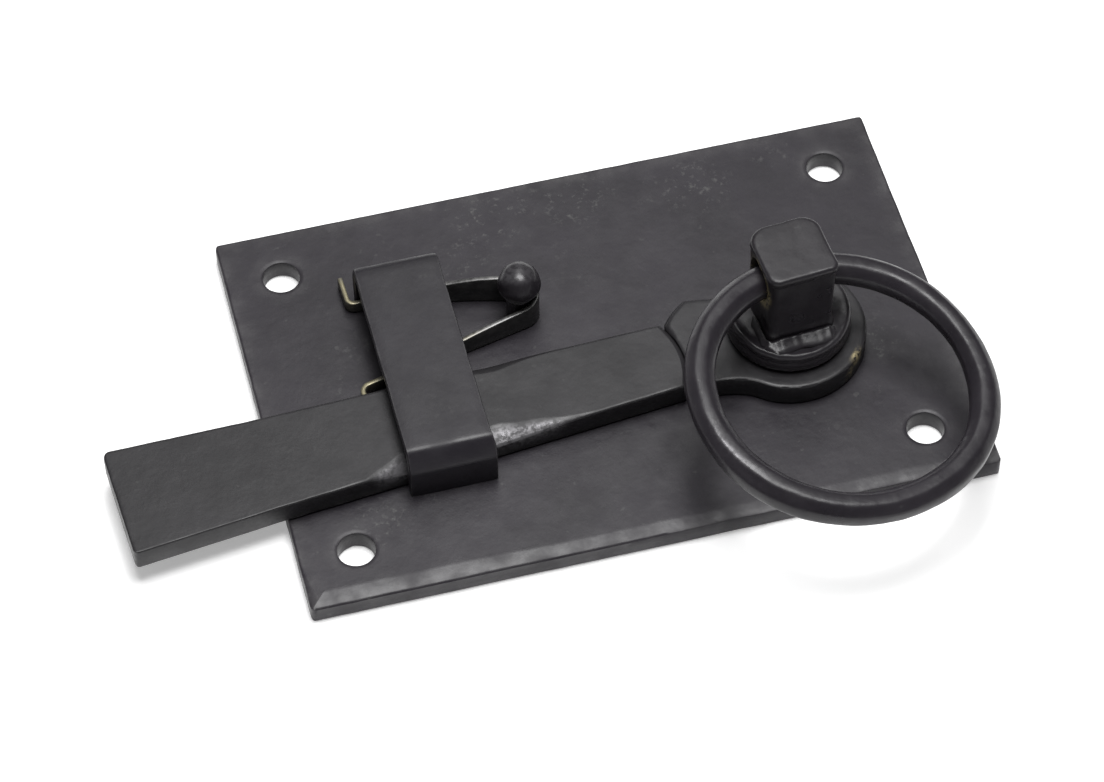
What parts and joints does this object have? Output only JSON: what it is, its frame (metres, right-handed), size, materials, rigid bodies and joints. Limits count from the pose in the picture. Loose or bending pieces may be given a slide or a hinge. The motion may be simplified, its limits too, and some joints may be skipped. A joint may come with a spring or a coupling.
{
  "type": "ring-handle plate latch",
  "caption": "Forged iron plate latch for a door or gate: a ring handle turns a spindle that lifts a spring-loaded latch bar in its strap keeper.",
  "frame": {"origin": "centre of the backplate's back face, which lies against the door", "axes": "+Z out of the door, +X along the plate away from the latch bar's free end, +Y the way the bar lifts"},
  "size_m": [0.189, 0.1231, 0.0378],
  "materials": {
    "plate_iron": "satin",
    "bar_iron": "satin",
    "handle_iron": "satin",
    "spring_steel": "satin"
  },
  "bodies": {
    "base": {"backplate": "plate_iron", "keeper": "plate_iron"},
    "latch": {"latch_bar": "bar_iron", "bar_eye": "bar_iron", "collar": "handle_iron", "spindle": "handle_iron", "rear_washer": "handle_iron"},
    "ring": {"ring": "handle_iron"},
    "snib": {"spring_upper_leaf": "spring_steel", "spring_knob": "handle_iron"},
    "leaf": {"spring_lower_leaf": "spring_steel"}
  },
  "joints": [
    {"name": "latch_turn", "type": "hinge", "parent": "base", "child": "latch", "pos_m": [0.0409, -0.0077, 0.008], "axis": [0, 0, -1], "range_deg": [0, 9], "stiffness_Nm_per_rad": 4.5, "springref_deg": -4.58},
    {"name": "ring_swing", "type": "hinge", "parent": "latch", "child": "ring", "pos_m": [0.0409, -0.0077, 0.0295], "axis": [-0.9916, -0.0902, 0.0924], "range_deg": [-16, 202]},
    {"name": "snib_slide", "type": "slide", "parent": "base", "child": "snib", "axis": [-1, 0, 0], "range_m": [0, 0.006]},
    {"name": "leaf_flex", "type": "hinge", "parent": "snib", "child": "leaf", "pos_m": [-0.0144, 0.0144, 0.008], "axis": [0, 0, -1], "range_deg": [0, 23]}
  ],
  "couplings": [
    {"joint": "leaf_flex", "follows": "latch_turn", "ratio": 2.5}
  ]
}
